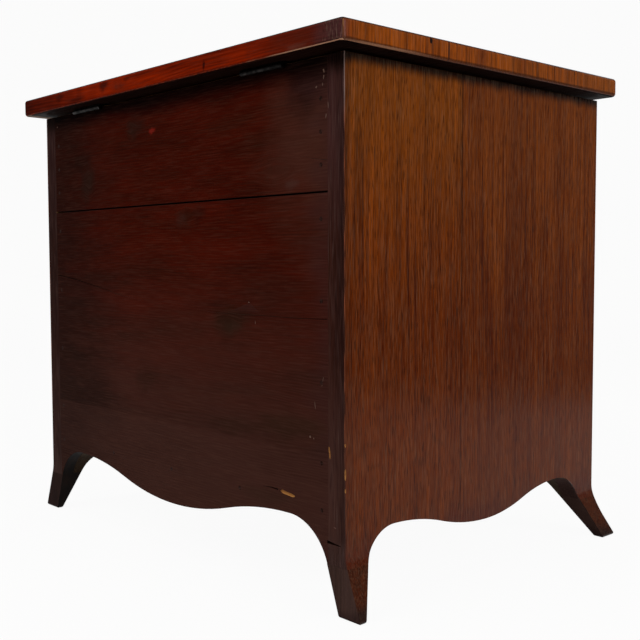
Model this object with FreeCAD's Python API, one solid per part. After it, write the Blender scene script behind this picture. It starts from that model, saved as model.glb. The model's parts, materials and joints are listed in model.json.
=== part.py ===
import FreeCAD, Part
import math
import os

# A small lidded chest on splayed feet: pine boards, mahogany veneer, hinged lid with a box lock.
# Millimetres. The front faces -Y, the back +Y, and +Z is up from the floor. The origin is on the
# floor, in the middle of the whole chest's footprint.

V = FreeCAD.Vector
os.makedirs("parts", exist_ok=True)

# Carcase, measured over the veneer
carcase_width = 566.0
carcase_depth = 413.0
carcase_top = 518.5
side_board_thickness = 21.5
front_board_thickness = 20.0
back_board_thickness = 16.0
veneer_thickness = 1.5
veneer_seam_from_back = 166.0

# The back is two boards that have shrunk apart
back_seam_height = 394.5
back_seam_gap = 1.5

# Splayed feet: the corners turn outwards below splay_start, and the feet are joined on below the boards
foot_height = 48.0
splay_start = 62.5
side_splay = 20.0
front_splay = 21.0
# Share of the splay that is one sweeping curve; the rest runs straight to the floor
side_splay_sweep = 0.41
front_splay_sweep = 0.85
sole_arris_radius = 2.5
dowel_radius = 3.5
dowel_length = 30.0
dowel_from_side = 9.0
dowel_from_back = 9.0
dowel_from_front = 7.0

# Apron under the front and the back: heights from the floor, insets from the corner
front_apron_centre = 57.5
front_apron_peak = 85.5
front_apron_peak_inset = 78.0
front_apron_elbow = 48.5
front_apron_toe = -6.5
back_apron_elbow = 56.0
back_apron_toe = 9.0

# Apron under the two sides, which turns down more sharply to the rear feet than to the front ones
side_apron_centre = 57.5
side_apron_front_peak = 80.5
side_apron_front_peak_inset = 73.5
side_apron_front_elbow = 46.5
side_apron_front_toe = 2.5
side_apron_rear_peak = 79.0
side_apron_rear_peak_inset = 65.5
side_apron_rear_elbow = 37.5
side_apron_rear_toe = 7.5

# Bottom boards on bearers, hidden above the aprons
bearer_above_apron = 2.5
bearer_size = 18.0
bottom_thickness = 12.0
bottom_clearance = 0.5
glue_block_thickness = 18.0
fillet_size = 18.0
fillet_below_top = 14.0

# Lid: two pine boards between end cleats, veneered on top, with a thin crossbanded edge
lid_thickness = 21.0
lid_overhang_side = 19.5
lid_overhang_back = 22.0
lid_overhang_front = 11.0
lid_cleat_width = 23.5
lid_edge_band_thickness = 1.5
lid_top_veneer_thickness = 1.2
lid_crossband_width = 28.0
lid_corner_radius = 5.0
lid_top_arris_radius = 4.0
lid_bottom_arris_radius = 4.0

# Butt hinges, planted on the back board's edge and under the lid
hinge_side_inset = 90.0
hinge_length = 64.0
hinge_leaf_reach = 13.0
hinge_knuckle_count = 5
hinge_knuckle_radius = 3.0
hinge_knuckle_gap = 0.3
hinge_knuckle_clearance = 0.3
hinge_knuckle_below_lid = 0.5
hinge_pin_radius = 1.4
hinge_pin_clearance = 0.05
hinge_pin_head_radius = 2.4
hinge_pin_head_thickness = 0.8
hinge_screw_spacing = 21.0
hinge_screw_from_edge = 6.0
plate_thickness = 1.4
plate_gap = 0.2

# Countersunk screws and flush cut nails
screw_head_radius = 2.8
screw_shank_radius = 1.5
screw_length = 14.0
screw_slot_width = 0.7
screw_slot_depth = 0.6
nail_head_radius = 2.2
nail_head_thickness = 1.0
nail_shank_radius = 1.1
nail_length = 28.0
nail_margin = 24.0

# Box lock in the front board, with a link plate under the lid
lock_case_width = 70.0
lock_case_height = 38.0
lock_room = 6.0
lock_wall = 1.5
lock_plate_ear = 9.0
lock_plate_width = 16.0
lock_screw_from_end = 5.0
lug_from_centre = 12.0
lug_thickness = 3.0
lug_width = 5.0
lug_drop = 12.0
lug_slot_clearance = 0.6
lug_hole_drop = 8.0
lug_hole_width = 3.2
lug_hole_height = 4.2
bolt_clearance = 0.3
bolt_height = 20.0
bolt_arm_width = 5.0
bolt_finger_length = 9.0
bolt_finger_clearance = 0.4
bolt_tip_gap = 1.0
bolt_tail = 10.0

# Keyhole and its brass escutcheon
keyhole_below_top = 26.0
keyhole_radius = 2.6
keyhole_slot_width = 2.4
keyhole_slot_drop = 8.0
escutcheon_half_height = 14.0
escutcheon_half_width = 9.0
escutcheon_thickness = 1.0
escutcheon_pin_from_centre = 11.5
escutcheon_pin_radius = 0.6
escutcheon_pin_head_radius = 1.2
escutcheon_pin_head_thickness = 0.5
escutcheon_pin_length = 7.0

# Planes that follow from the sizes above
half_width = carcase_width / 2
back_face = (carcase_depth + front_splay - lid_overhang_back) / 2
front_face = back_face - carcase_depth
inner_half_width = half_width - veneer_thickness - side_board_thickness
front_inner = front_face + veneer_thickness + front_board_thickness
back_inner = back_face - back_board_thickness
bearer_bottom = max(front_apron_peak, side_apron_rear_peak, side_apron_front_peak) + bearer_above_apron
bottom_bottom = bearer_bottom + bearer_size
bottom_top = bottom_bottom + bottom_thickness
fillet_top = carcase_top - fillet_below_top
lid_bottom = carcase_top + 2 * plate_thickness + plate_gap
lid_top = lid_bottom + lid_thickness
lid_half_width = half_width + lid_overhang_side
lid_front = front_face - lid_overhang_front
lid_back = back_face + lid_overhang_back
lid_core_top = lid_top - lid_top_veneer_thickness
hinge_axis_y = back_face + hinge_knuckle_radius + hinge_knuckle_clearance
hinge_axis_z = lid_bottom - hinge_knuckle_below_lid - hinge_knuckle_radius
beyond = carcase_width + carcase_depth + carcase_top
nearly = 1e-3


def box(x0, x1, y0, y1, z0, z1):
    """A block between two corners."""
    return Part.makeBox(x1 - x0, y1 - y0, z1 - z0, V(x0, y0, z0))


def save(name, shapes):
    """Write one piece, or a group of separate like pieces, under its name."""
    solids = []
    for shape in shapes:
        solids.extend(shape.removeSplitter().Solids)
    solid_or_group = solids[0] if len(solids) == 1 else Part.makeCompound(solids)
    solid_or_group.exportStep("parts/" + name + ".step")
    print(name, len(solids), "solid(s),", round(sum(s.Volume for s in solids) / 1000.0, 2), "cm3")


def spread(low, high, count):
    """Evenly spaced places from low to high."""
    step = (high - low) / (count - 1)
    return [low + step * i for i in range(count)]


# Outlines: u runs across the width or the depth, z runs up


def across_width(u, z):
    return V(u, -beyond, z)


def across_depth(u, z):
    return V(-beyond, u, z)


def through(edges, place):
    """A prism with the given outline that passes through the whole chest."""
    face = Part.Face(Part.Wire(Part.__sortEdges__(edges)))
    run = V(0, 2 * beyond, 0) if place is across_width else V(2 * beyond, 0, 0)
    return face.extrude(run)


def line(a, b):
    return Part.LineSegment(a, b).toShape()


def touch_angle(point, centre, radius):
    """The angle on a circle where a straight line from a point below touches its outer side."""
    away_u = point[0] - centre[0]
    away_z = point[1] - centre[1]
    return math.atan2(away_z, away_u) - math.acos(radius / math.hypot(away_u, away_z))


def on_circle(centre, radius, angle):
    return centre[0] + radius * math.cos(angle), centre[1] + radius * math.sin(angle)


def arch_half(put, middle, centre_height, toe, peak, peak_inset, elbow):
    """Half an apron's lower edge: up the foot's inside, round the elbow, then an ogee to the middle."""
    elbow_centre = (peak_inset, peak - elbow)
    start = touch_angle((toe, 0.0), elbow_centre, elbow) + 2 * math.pi
    top = math.pi / 2
    foot_end = on_circle(elbow_centre, elbow, start)
    lean = (foot_end[0] - toe) / foot_end[1]
    below = (toe - lean * foot_height, -foot_height)
    run = middle - peak_inset
    drop = peak - centre_height
    ogee = (run ** 2 + drop ** 2) / (4 * drop)
    half_turn = math.asin(run / 2 / ogee) / 2
    turn_in = (peak_inset + run / 2, centre_height + drop / 2)
    hill = on_circle((peak_inset, peak - ogee), ogee, top - half_turn)
    dip = on_circle((middle, centre_height + ogee), ogee, -top - half_turn)
    elbow_mid = on_circle(elbow_centre, elbow, (start + top) / 2)
    return [
        line(put(*below), put(*foot_end)),
        Part.Arc(put(*foot_end), put(*elbow_mid), put(peak_inset, peak)).toShape(),
        Part.Arc(put(peak_inset, peak), put(*hill), put(*turn_in)).toShape(),
        Part.Arc(put(*turn_in), put(*dip), put(middle, centre_height)).toShape(),
    ], put(*below)


def arch(place, low, high, centre_height, low_shape, high_shape):
    """The open space under an apron, as a cutter; each end's shape is its toe, peak, peak inset and elbow."""
    middle = (high - low) / 2
    low_edges, low_end = arch_half(lambda s, z: place(low + s, z), middle, centre_height, *low_shape)
    high_edges, high_end = arch_half(lambda s, z: place(high - s, z), middle, centre_height, *high_shape)
    return through(low_edges + high_edges + [line(low_end, high_end)], place)


def splay_edge(put, splay, sweep):
    """One upright outer edge, which turns out to its foot's tip; put takes (outwards, height)."""
    if splay == 0:
        return [line(put(0, 0), put(0, carcase_top))], put(0, 0)
    radius = sweep * (splay_start ** 2 + splay ** 2) / (2 * splay)
    centre = (radius, splay_start)
    touch = touch_angle((splay, 0.0), centre, radius)
    leave = on_circle(centre, radius, touch)
    bend = on_circle(centre, radius, (touch - math.pi) / 2)
    return [
        line(put(splay, 0), put(*leave)),
        Part.Arc(put(*leave), put(*bend), put(0, splay_start)).toShape(),
        line(put(0, splay_start), put(0, carcase_top)),
    ], put(splay, 0)


def envelope(place, low, high, low_splay, high_splay, sweep):
    """Everything between two upright outer edges, each straight or splayed at the foot."""
    low_edges, low_tip = splay_edge(lambda o, z: place(low - o, z), low_splay, sweep)
    high_edges, high_tip = splay_edge(lambda o, z: place(high + o, z), high_splay, sweep)
    rim = [line(low_tip, high_tip), line(place(low, carcase_top), place(high, carcase_top))]
    return through(low_edges + high_edges + rim, place)


# Fasteners: each points along -Z from its head's flat top, then is turned and moved to its place


def placed(shape, point, direction):
    shape.Placement = FreeCAD.Placement(point, FreeCAD.Rotation(V(0, 0, -1), direction))
    return shape


def screw_body():
    head = Part.makeCone(screw_shank_radius, screw_head_radius, plate_thickness, V(0, 0, -plate_thickness))
    shank = Part.makeCylinder(screw_shank_radius, screw_length - plate_thickness, V(0, 0, -screw_length))
    return head.fuse(shank)


def screw_hole(point, direction):
    return placed(screw_body(), point, direction)


def screw(point, direction):
    slot = box(-screw_head_radius, screw_head_radius, -screw_slot_width / 2, screw_slot_width / 2,
               -screw_slot_depth, screw_slot_depth)
    return placed(screw_body().cut(slot), point, direction)


def nail(point, direction):
    head = Part.makeCylinder(nail_head_radius, nail_head_thickness, V(0, 0, -nail_head_thickness))
    shank = Part.makeCylinder(nail_shank_radius, nail_length - nail_head_thickness, V(0, 0, -nail_length))
    return placed(head.fuse(shank), point, direction)


up = V(0, 0, 1)
down = V(0, 0, -1)
backwards = V(0, 1, 0)
forwards = V(0, -1, 0)

# Outer skin, inner skin and the spaces under the aprons
outside_wide = envelope(across_width, -half_width, half_width, side_splay, side_splay, side_splay_sweep)
outside_deep = envelope(across_depth, front_face, back_face, front_splay, 0, front_splay_sweep)
core_half_width = half_width - veneer_thickness
core_front = front_face + veneer_thickness
core_wide = envelope(across_width, -core_half_width, core_half_width, side_splay, side_splay,
                     side_splay_sweep)
core_deep = envelope(across_depth, core_front, back_face, front_splay, 0, front_splay_sweep)
arches = []
for toe, elbow, y0, y1 in ((front_apron_toe, front_apron_elbow, -beyond, 0),
                           (back_apron_toe, back_apron_elbow, 0, beyond)):
    wide_end = (toe, front_apron_peak, front_apron_peak_inset, elbow)
    wide_arch = arch(across_width, -half_width, half_width, front_apron_centre, wide_end, wide_end)
    arches.append(wide_arch.common(box(-beyond, beyond, y0, y1, -beyond, beyond)))
side_front_end = (side_apron_front_toe, side_apron_front_peak, side_apron_front_peak_inset,
                  side_apron_front_elbow)
side_rear_end = (side_apron_rear_toe, side_apron_rear_peak, side_apron_rear_peak_inset,
                 side_apron_rear_elbow)
arches.append(arch(across_depth, front_face, back_face, side_apron_centre, side_front_end, side_rear_end))
above_feet = box(-beyond, beyond, -beyond, beyond, foot_height, carcase_top)
core = core_wide.common(core_deep).common(above_feet)

# Places of the fasteners and the lock
hinge_middle = inner_half_width - hinge_side_inset
hinge_centres = {"left": -hinge_middle, "right": hinge_middle}
hinge_screw_places = []
for hinge_centre in hinge_centres.values():
    for offset in spread(-hinge_screw_spacing, hinge_screw_spacing, 3):
        hinge_screw_places.append((hinge_centre + offset, back_face - hinge_screw_from_edge))
lower_plate_top = carcase_top + plate_thickness
upper_plate_bottom = lid_bottom - plate_thickness
hinge_lower_holes = [screw_hole(V(x, y, lower_plate_top), down) for x, y in hinge_screw_places]
hinge_upper_holes = [screw_hole(V(x, y, upper_plate_bottom), up) for x, y in hinge_screw_places]

lock_middle = front_inner - lock_wall - lock_room / 2
lock_plate_middle = front_inner - lock_plate_width / 2
lock_plate_x = lock_case_width / 2 + lock_plate_ear
lock_screw_x = lock_plate_x - lock_screw_from_end
lock_screw_places = [(-lock_screw_x, lock_plate_middle), (lock_screw_x, lock_plate_middle)]
lock_lower_holes = [screw_hole(V(x, y, lower_plate_top), down) for x, y in lock_screw_places]
lock_upper_holes = [screw_hole(V(x, y, upper_plate_bottom), up) for x, y in lock_screw_places]

upper_board_bottom = back_seam_height + back_seam_gap
fillet_middle = inner_half_width - fillet_size / 2
back_nail_rows = spread(bottom_top + nail_margin, back_seam_height - nail_margin, 4)
back_nail_rows += spread(upper_board_bottom + nail_margin, fillet_top - nail_margin, 3)
back_nails = []
for x in (-fillet_middle, fillet_middle):
    for z in back_nail_rows:
        back_nails.append(nail(V(x, back_face, z), forwards))
for x in spread(-fillet_middle, fillet_middle, 5):
    back_nails.append(nail(V(x, back_face, bearer_bottom + bearer_size / 2), forwards))

bearer_middle = inner_half_width - bearer_size / 2
bottom_front = front_inner + bottom_clearance
bottom_back = back_inner - bottom_clearance
bottom_joint = (bottom_front + bottom_back) / 2
bottom_nails = []
for low, high in ((bottom_front, bottom_joint), (bottom_joint, bottom_back)):
    for x in (-bearer_middle, bearer_middle):
        for y in spread(low + nail_margin, high - nail_margin, 3):
            bottom_nails.append(nail(V(x, y, bottom_top), down))

dowels = []
for x in (dowel_from_side - half_width, half_width - dowel_from_side):
    for y in (front_face + dowel_from_front, back_face - dowel_from_back):
        dowels.append(Part.makeCylinder(dowel_radius, dowel_length, V(x, y, foot_height - dowel_length / 2)))

keyhole_z = carcase_top - keyhole_below_top
keyhole_front = front_face - escutcheon_thickness - escutcheon_pin_head_thickness
keyhole_back = front_inner - lock_wall - lock_room / 2
keyhole_round = Part.makeCylinder(keyhole_radius, keyhole_back - keyhole_front,
                                  V(0, keyhole_front, keyhole_z), backwards)
keyhole_slot = box(-keyhole_slot_width / 2, keyhole_slot_width / 2, keyhole_front, keyhole_back,
                   keyhole_z - keyhole_slot_drop, keyhole_z)
keyhole = keyhole_round.fuse(keyhole_slot)

escutcheon_pins = []
for side in (-1, 1):
    pin_z = keyhole_z - keyhole_slot_drop / 2 + side * escutcheon_pin_from_centre
    pin_face = front_face - escutcheon_thickness
    shank = Part.makeCylinder(escutcheon_pin_radius, escutcheon_pin_length, V(0, pin_face, pin_z), backwards)
    head = Part.makeCylinder(escutcheon_pin_head_radius, escutcheon_pin_head_thickness,
                             V(0, pin_face, pin_z), forwards)
    escutcheon_pins.append(head.fuse(shank))

lock_case_outside = box(-lock_case_width / 2, lock_case_width / 2,
                        front_inner - lock_room - 2 * lock_wall, front_inner,
                        carcase_top - lock_case_height, carcase_top)


def feet():
    """Four solid splayed feet, one under each corner."""
    block = outside_wide.common(outside_deep)
    for name_y, y0, y1 in (("front", -beyond, front_face + side_apron_front_peak_inset),
                           ("rear", back_face - side_apron_rear_peak_inset, back_face)):
        for name_x, x0, x1 in (("left", -beyond, front_apron_peak_inset - half_width),
                               ("right", half_width - front_apron_peak_inset, beyond)):
            foot = block.common(box(x0, x1, y0, y1, 0, foot_height)).cut(arches).cut(dowels)
            sole = [e for e in foot.Edges if e.BoundBox.ZMax < nearly]
            foot = foot.makeFillet(sole_arris_radius, sole)
            save("foot_" + name_y + "_" + name_x, [foot])
    save("foot_dowels", dowels)


def sides():
    """Pine side boards, each under two upright leaves of veneer that meet at a seam."""
    skin = outside_wide.cut(core_wide).common(core_deep).common(above_feet).cut(arches)
    seam = back_face - veneer_seam_from_back
    for name, x0, x1 in (("left", -beyond, -inner_half_width), ("right", inner_half_width, beyond)):
        board = core.common(box(x0, x1, -beyond, back_face, foot_height, carcase_top))
        save(name + "_side_board", [board.cut(arches).cut(dowels)])
        save(name + "_veneer_front", [skin.common(box(x0, x1, -beyond, seam, foot_height, carcase_top))])
        save(name + "_veneer_rear", [skin.common(box(x0, x1, seam, back_face, foot_height, carcase_top))])


def front():
    """Pine front board cut away for the lock, under two leaves of veneer that meet in the middle."""
    between_sides = box(-inner_half_width, inner_half_width, -beyond, front_inner, foot_height, carcase_top)
    board = core.common(between_sides)
    cuts = arches + lock_lower_holes + escutcheon_pins + [lock_case_outside, keyhole]
    save("front_board", [board.cut(cuts)])
    skin = outside_deep.cut(core_deep).common(outside_wide).common(above_feet)
    skin = skin.cut(arches + escutcheon_pins + [keyhole])
    save("front_veneer_left", [skin.common(box(-beyond, 0, -beyond, 0, foot_height, carcase_top))])
    save("front_veneer_right", [skin.common(box(0, beyond, -beyond, 0, foot_height, carcase_top))])


def back():
    """Two back boards let in between the sides, nailed to the corner fillets."""
    lower = box(-inner_half_width, inner_half_width, back_inner, back_face, foot_height, back_seam_height)
    upper = box(-inner_half_width, inner_half_width, back_inner, back_face, upper_board_bottom, carcase_top)
    save("back_board_lower", [lower.cut(arches).cut(back_nails)])
    save("back_board_upper", [upper.cut(back_nails).cut(hinge_lower_holes)])
    save("back_nails", back_nails)


def bottom():
    """Two bottom boards on four bearers, angled glue blocks on the feet, and fillets above the corners."""
    wide = inner_half_width - bottom_clearance
    joint_half = bottom_clearance / 2
    front_half = box(-wide, wide, bottom_front, bottom_joint - joint_half, bottom_bottom, bottom_top)
    rear_half = box(-wide, wide, bottom_joint + joint_half, bottom_back, bottom_bottom, bottom_top)
    save("bottom_board_front", [front_half.cut(bottom_nails)])
    save("bottom_board_rear", [rear_half.cut(bottom_nails)])
    nails = bottom_nails + back_nails
    inside = inner_half_width - bearer_size
    for name, x0, x1, y0, y1 in (
            ("left", -inner_half_width, -inside, front_inner, back_inner),
            ("right", inside, inner_half_width, front_inner, back_inner),
            ("front", -inside, inside, front_inner, front_inner + bearer_size),
            ("back", -inside, inside, back_inner - bearer_size, back_inner)):
        bearer = box(x0, x1, y0, y1, bearer_bottom, bottom_bottom)
        save("bottom_bearer_" + name, [bearer.cut(nails)])
    save("bottom_nails", bottom_nails)
    front_end = front_face + side_apron_front_peak_inset
    rear_end = back_face - side_apron_rear_peak_inset
    blocks = []
    for name_x, side in (("left", -1), ("right", 1)):
        corner = side * inner_half_width
        for name_y, wall, inward, end in (("front", front_inner, 1, front_end),
                                          ("rear", back_inner, -1, rear_end)):
            narrow_x = sorted((corner, corner - side * glue_block_thickness))
            narrow_y = sorted((wall, wall + inward * glue_block_thickness))
            wide_x = sorted((corner, side * (half_width - front_apron_peak_inset)))
            wide_y = sorted((wall, end))
            angle = box(*wide_x, *narrow_y, foot_height, bearer_bottom)
            angle = angle.fuse(box(*narrow_x, *wide_y, foot_height, bearer_bottom))
            blocks.append(angle.cut(arches))
            fillet_x = sorted((corner, corner - side * fillet_size))
            fillet_y = sorted((wall, wall + inward * fillet_size))
            fillet = box(*fillet_x, *fillet_y, bottom_top, fillet_top)
            save("corner_fillet_" + name_y + "_" + name_x, [fillet.cut(back_nails)])
    save("glue_blocks", blocks)


def lid_envelope():
    """The whole lid as one block, with its corners and its upper and lower arrises rounded over."""
    block = box(-lid_half_width, lid_half_width, lid_front, lid_back, lid_bottom, lid_top)
    block = block.makeFillet(lid_corner_radius, [e for e in block.Edges if e.BoundBox.ZLength > nearly])
    for height, radius in ((lid_top, lid_top_arris_radius), (lid_bottom, lid_bottom_arris_radius)):
        rim = [e for e in block.Edges if abs(e.BoundBox.Center.z - height) < nearly]
        block = block.makeFillet(radius, rim)
    return block


def lid():
    """Pine boards between end cleats, edge bands, and a mitred crossbanded border round the top leaf."""
    whole = lid_envelope()
    holes = hinge_upper_holes + lock_upper_holes
    band_x = lid_half_width - lid_edge_band_thickness
    band_y = lid_front + lid_edge_band_thickness
    cleat_x = band_x - lid_cleat_width
    joint = (band_y + lid_back) / 2
    for name, x0, x1, y0, y1, z1 in (
            ("lid_edge_band_left", -lid_half_width, -band_x, lid_front, lid_back, lid_top),
            ("lid_edge_band_right", band_x, lid_half_width, lid_front, lid_back, lid_top),
            ("lid_edge_band_front", -band_x, band_x, lid_front, band_y, lid_top),
            ("lid_cleat_left", -band_x, -cleat_x, band_y, lid_back, lid_core_top),
            ("lid_cleat_right", cleat_x, band_x, band_y, lid_back, lid_core_top),
            ("lid_board_front", -cleat_x, cleat_x, band_y, joint, lid_core_top),
            ("lid_board_rear", -cleat_x, cleat_x, joint, lid_back, lid_core_top)):
        save(name, [whole.common(box(x0, x1, y0, y1, lid_bottom, z1)).cut(holes)])
    outer = [(-band_x, band_y), (band_x, band_y), (band_x, lid_back), (-band_x, lid_back)]
    in_x = band_x - lid_crossband_width
    in_front = band_y + lid_crossband_width
    in_back = lid_back - lid_crossband_width
    inner = [(-in_x, in_front), (in_x, in_front), (in_x, in_back), (-in_x, in_back)]
    rise = V(0, 0, lid_top_veneer_thickness)
    for i, name in enumerate(("front", "right", "back", "left")):
        after = (i + 1) % 4
        corners = [outer[i], outer[after], inner[after], inner[i], outer[i]]
        outline = Part.makePolygon([V(x, y, lid_core_top) for x, y in corners])
        save("lid_crossband_" + name, [Part.Face(outline).extrude(rise).common(whole)])
    save("lid_top_veneer", [box(-in_x, in_x, in_front, in_back, lid_core_top, lid_top)])


def knuckles(centre, owner, radius, gap):
    """A hinge's alternate knuckles as bars along X: owner 0 has the end ones, owner 1 those between."""
    pitch = hinge_length / hinge_knuckle_count
    bars = []
    for i in range(owner, hinge_knuckle_count, 2):
        start = V(centre - hinge_length / 2 + pitch * i + gap / 2, hinge_axis_y, hinge_axis_z)
        bars.append(Part.makeCylinder(radius, pitch - gap, start, V(1, 0, 0)))
    return bars


def hinges():
    """Two butt hinges: a leaf on the back board, a leaf under the lid, and a riveted pin each."""
    room = hinge_knuckle_radius + hinge_knuckle_clearance
    for name, centre in hinge_centres.items():
        first = centre - hinge_length / 2 + hinge_knuckle_gap / 2
        last = centre + hinge_length / 2 - hinge_knuckle_gap / 2
        at = V(first, hinge_axis_y, hinge_axis_z)
        bore = Part.makeCylinder(hinge_pin_radius + hinge_pin_clearance, last - first, at, V(1, 0, 0))
        for leaf, owner, z0, holes in (("lower", 0, carcase_top, hinge_lower_holes),
                                       ("upper", 1, upper_plate_bottom, hinge_upper_holes)):
            plate = box(first, last, back_face - hinge_leaf_reach, hinge_axis_y, z0, z0 + plate_thickness)
            plate = plate.cut(knuckles(centre, 1 - owner, room, -hinge_knuckle_gap))
            plate = plate.fuse(knuckles(centre, owner, hinge_knuckle_radius, hinge_knuckle_gap))
            save("hinge_" + name + "_" + leaf + "_leaf", [plate.cut(holes + [bore])])
        pin = Part.makeCylinder(hinge_pin_radius, last - first, at, V(1, 0, 0))
        near_head = Part.makeCylinder(hinge_pin_head_radius, hinge_pin_head_thickness, at, V(-1, 0, 0))
        far_head = Part.makeCylinder(hinge_pin_head_radius, hinge_pin_head_thickness,
                                     V(last, hinge_axis_y, hinge_axis_z), V(1, 0, 0))
        save("hinge_" + name + "_pin", [pin.fuse([near_head, far_head])])
    save("hinge_lower_screws", [screw(V(x, y, lower_plate_top), down) for x, y in hinge_screw_places])
    save("hinge_upper_screws", [screw(V(x, y, upper_plate_bottom), up) for x, y in hinge_screw_places])


def lock():
    """A box lock: case in the front board, plate on its edge, sideways bolt, link plate under the lid."""
    case_bottom = carcase_top - lock_case_height
    room_x = lock_case_width / 2 - lock_wall
    room = box(-room_x, room_x, lock_middle - lock_room / 2, lock_middle + lock_room / 2,
               case_bottom + lock_wall, carcase_top)
    save("lock_case", [lock_case_outside.cut([room, keyhole])])

    plate_y0 = front_inner - lock_plate_width
    lock_plate = box(-lock_plate_x, lock_plate_x, plate_y0, front_inner, carcase_top, lower_plate_top)
    link_plate = box(-lock_plate_x, lock_plate_x, plate_y0, front_inner, upper_plate_bottom, lid_bottom)
    slots = []
    finger_y = lug_hole_width / 2 - bolt_finger_clearance
    finger_z = lug_hole_height / 2 - bolt_finger_clearance
    hole_z = upper_plate_bottom - lug_hole_drop
    bolt_bottom = case_bottom + lock_wall + bolt_clearance
    bolt_top = bolt_bottom + bolt_height
    bolt_y = lock_room / 2 - bolt_clearance
    bolt_parts = []
    arm_starts = []
    for lug_x in (-lug_from_centre, lug_from_centre):
        lug_x0 = lug_x - lug_thickness / 2
        lug_x1 = lug_x + lug_thickness / 2
        lug = box(lug_x0, lug_x1, lock_middle - lug_width / 2, lock_middle + lug_width / 2,
                  upper_plate_bottom - lug_drop, lid_bottom)
        hole = box(lug_x0, lug_x1, lock_middle - lug_hole_width / 2, lock_middle + lug_hole_width / 2,
                   hole_z - lug_hole_height / 2, hole_z + lug_hole_height / 2)
        link_plate = link_plate.fuse(lug).cut(hole)
        slot_y = lug_width / 2 + lug_slot_clearance
        slots.append(box(lug_x0 - lug_slot_clearance, lug_x1 + lug_slot_clearance,
                         lock_middle - slot_y, lock_middle + slot_y, carcase_top, lower_plate_top))
        tip = lug_x0 - bolt_tip_gap
        arm_end = tip - bolt_finger_length
        arm_starts.append(arm_end - bolt_arm_width)
        bolt_parts.append(box(arm_starts[-1], arm_end, lock_middle - bolt_y, lock_middle + bolt_y,
                              bolt_bottom, hole_z + finger_z))
        bolt_parts.append(box(arm_end, tip, lock_middle - finger_y, lock_middle + finger_y,
                              hole_z - finger_z, hole_z + finger_z))
    bolt = box(arm_starts[0], bolt_tail, lock_middle - bolt_y, lock_middle + bolt_y, bolt_bottom, bolt_top)
    save("lock_bolt", [bolt.fuse(bolt_parts)])
    save("lock_plate", [lock_plate.cut(slots + lock_lower_holes)])
    save("lock_link_plate", [link_plate.cut(lock_upper_holes)])
    save("lock_plate_screws", [screw(V(x, y, lower_plate_top), down) for x, y in lock_screw_places])
    save("lock_link_screws", [screw(V(x, y, upper_plate_bottom), up) for x, y in lock_screw_places])

    oval = Part.Ellipse(V(0, 0, 0), escutcheon_half_height, escutcheon_half_width).toShape()
    plate = Part.Face(Part.Wire([oval])).extrude(V(0, 0, escutcheon_thickness))
    turn = FreeCAD.Rotation(V(0, 0, 1), V(1, 0, 0), V(0, -1, 0), "ZXY")
    plate.Placement = FreeCAD.Placement(V(0, front_face, keyhole_z - keyhole_slot_drop / 2), turn)
    save("keyhole_escutcheon", [plate.cut(escutcheon_pins + [keyhole])])
    save("escutcheon_pins", escutcheon_pins)


feet()
sides()
front()
back()
bottom()
lid()
hinges()
lock()
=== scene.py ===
# %% [markdown]
# # A small mahogany chest, dressed for its picture
# The chest's boards, feet, hinges and lock arrive as a finished model in metres, each piece in its place.
# This lesson gives every surface its finish: straight-grained mahogany, pine, brass, steel and iron.
# Nothing here moves or resizes a piece. Outer boards are copied and their arrises eased, as dusting does.

# %% Load the chest
import json
import math
import random

import bmesh
import bpy
from mathutils import Matrix, Quaternion, Vector

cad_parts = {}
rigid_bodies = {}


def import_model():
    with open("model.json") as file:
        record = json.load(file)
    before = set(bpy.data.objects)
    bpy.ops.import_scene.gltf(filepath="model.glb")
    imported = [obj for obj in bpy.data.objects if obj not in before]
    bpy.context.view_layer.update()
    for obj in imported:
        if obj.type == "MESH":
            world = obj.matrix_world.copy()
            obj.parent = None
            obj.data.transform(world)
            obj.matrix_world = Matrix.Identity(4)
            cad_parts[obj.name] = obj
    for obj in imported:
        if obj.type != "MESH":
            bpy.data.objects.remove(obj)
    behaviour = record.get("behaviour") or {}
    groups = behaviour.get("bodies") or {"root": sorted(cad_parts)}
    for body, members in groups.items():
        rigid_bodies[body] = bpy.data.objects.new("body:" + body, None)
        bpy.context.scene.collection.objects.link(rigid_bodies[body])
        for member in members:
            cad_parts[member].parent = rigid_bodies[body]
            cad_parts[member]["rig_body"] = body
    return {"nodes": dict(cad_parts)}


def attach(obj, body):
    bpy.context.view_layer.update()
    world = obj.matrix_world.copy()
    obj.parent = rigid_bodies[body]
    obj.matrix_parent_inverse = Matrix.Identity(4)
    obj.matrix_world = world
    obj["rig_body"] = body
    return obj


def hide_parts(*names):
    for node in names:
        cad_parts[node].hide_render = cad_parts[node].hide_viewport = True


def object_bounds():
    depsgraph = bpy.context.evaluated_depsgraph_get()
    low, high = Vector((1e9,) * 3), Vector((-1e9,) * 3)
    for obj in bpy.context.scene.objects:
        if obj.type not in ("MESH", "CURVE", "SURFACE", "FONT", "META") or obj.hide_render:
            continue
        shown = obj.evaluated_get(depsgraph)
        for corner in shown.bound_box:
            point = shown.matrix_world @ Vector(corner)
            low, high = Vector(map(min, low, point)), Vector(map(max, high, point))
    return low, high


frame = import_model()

cad_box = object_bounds()
pieces = frame["nodes"]
scene = bpy.context.scene
MM = 0.001
low_corner, high_corner = [[round(v, 4) for v in corner] for corner in cad_box]
print(len(pieces), "pieces, from", low_corner, "to", high_corner)

# %% [markdown]
# ## The camera
# The photograph looks at the back and the left side from a little below the lid, with a normal lens. A
# camera can be aimed with a constraint or by Euler angles. Here a compass heading, a downward tilt and a
# small roll are turned into one rotation, because those three numbers are easy to measure and to read.

# %% Camera
CAMERA_PLACE = Vector((-913.5, 816.0, 333.0)) * MM
CAMERA_HEADING = math.radians(227.44)
CAMERA_TILT_DOWN = math.radians(3.57)
CAMERA_ROLL = math.radians(-0.16)
CAMERA_LENS_MM = 54.57
CHEST_MIDDLE = Vector((0, 0, 0.27))

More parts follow.
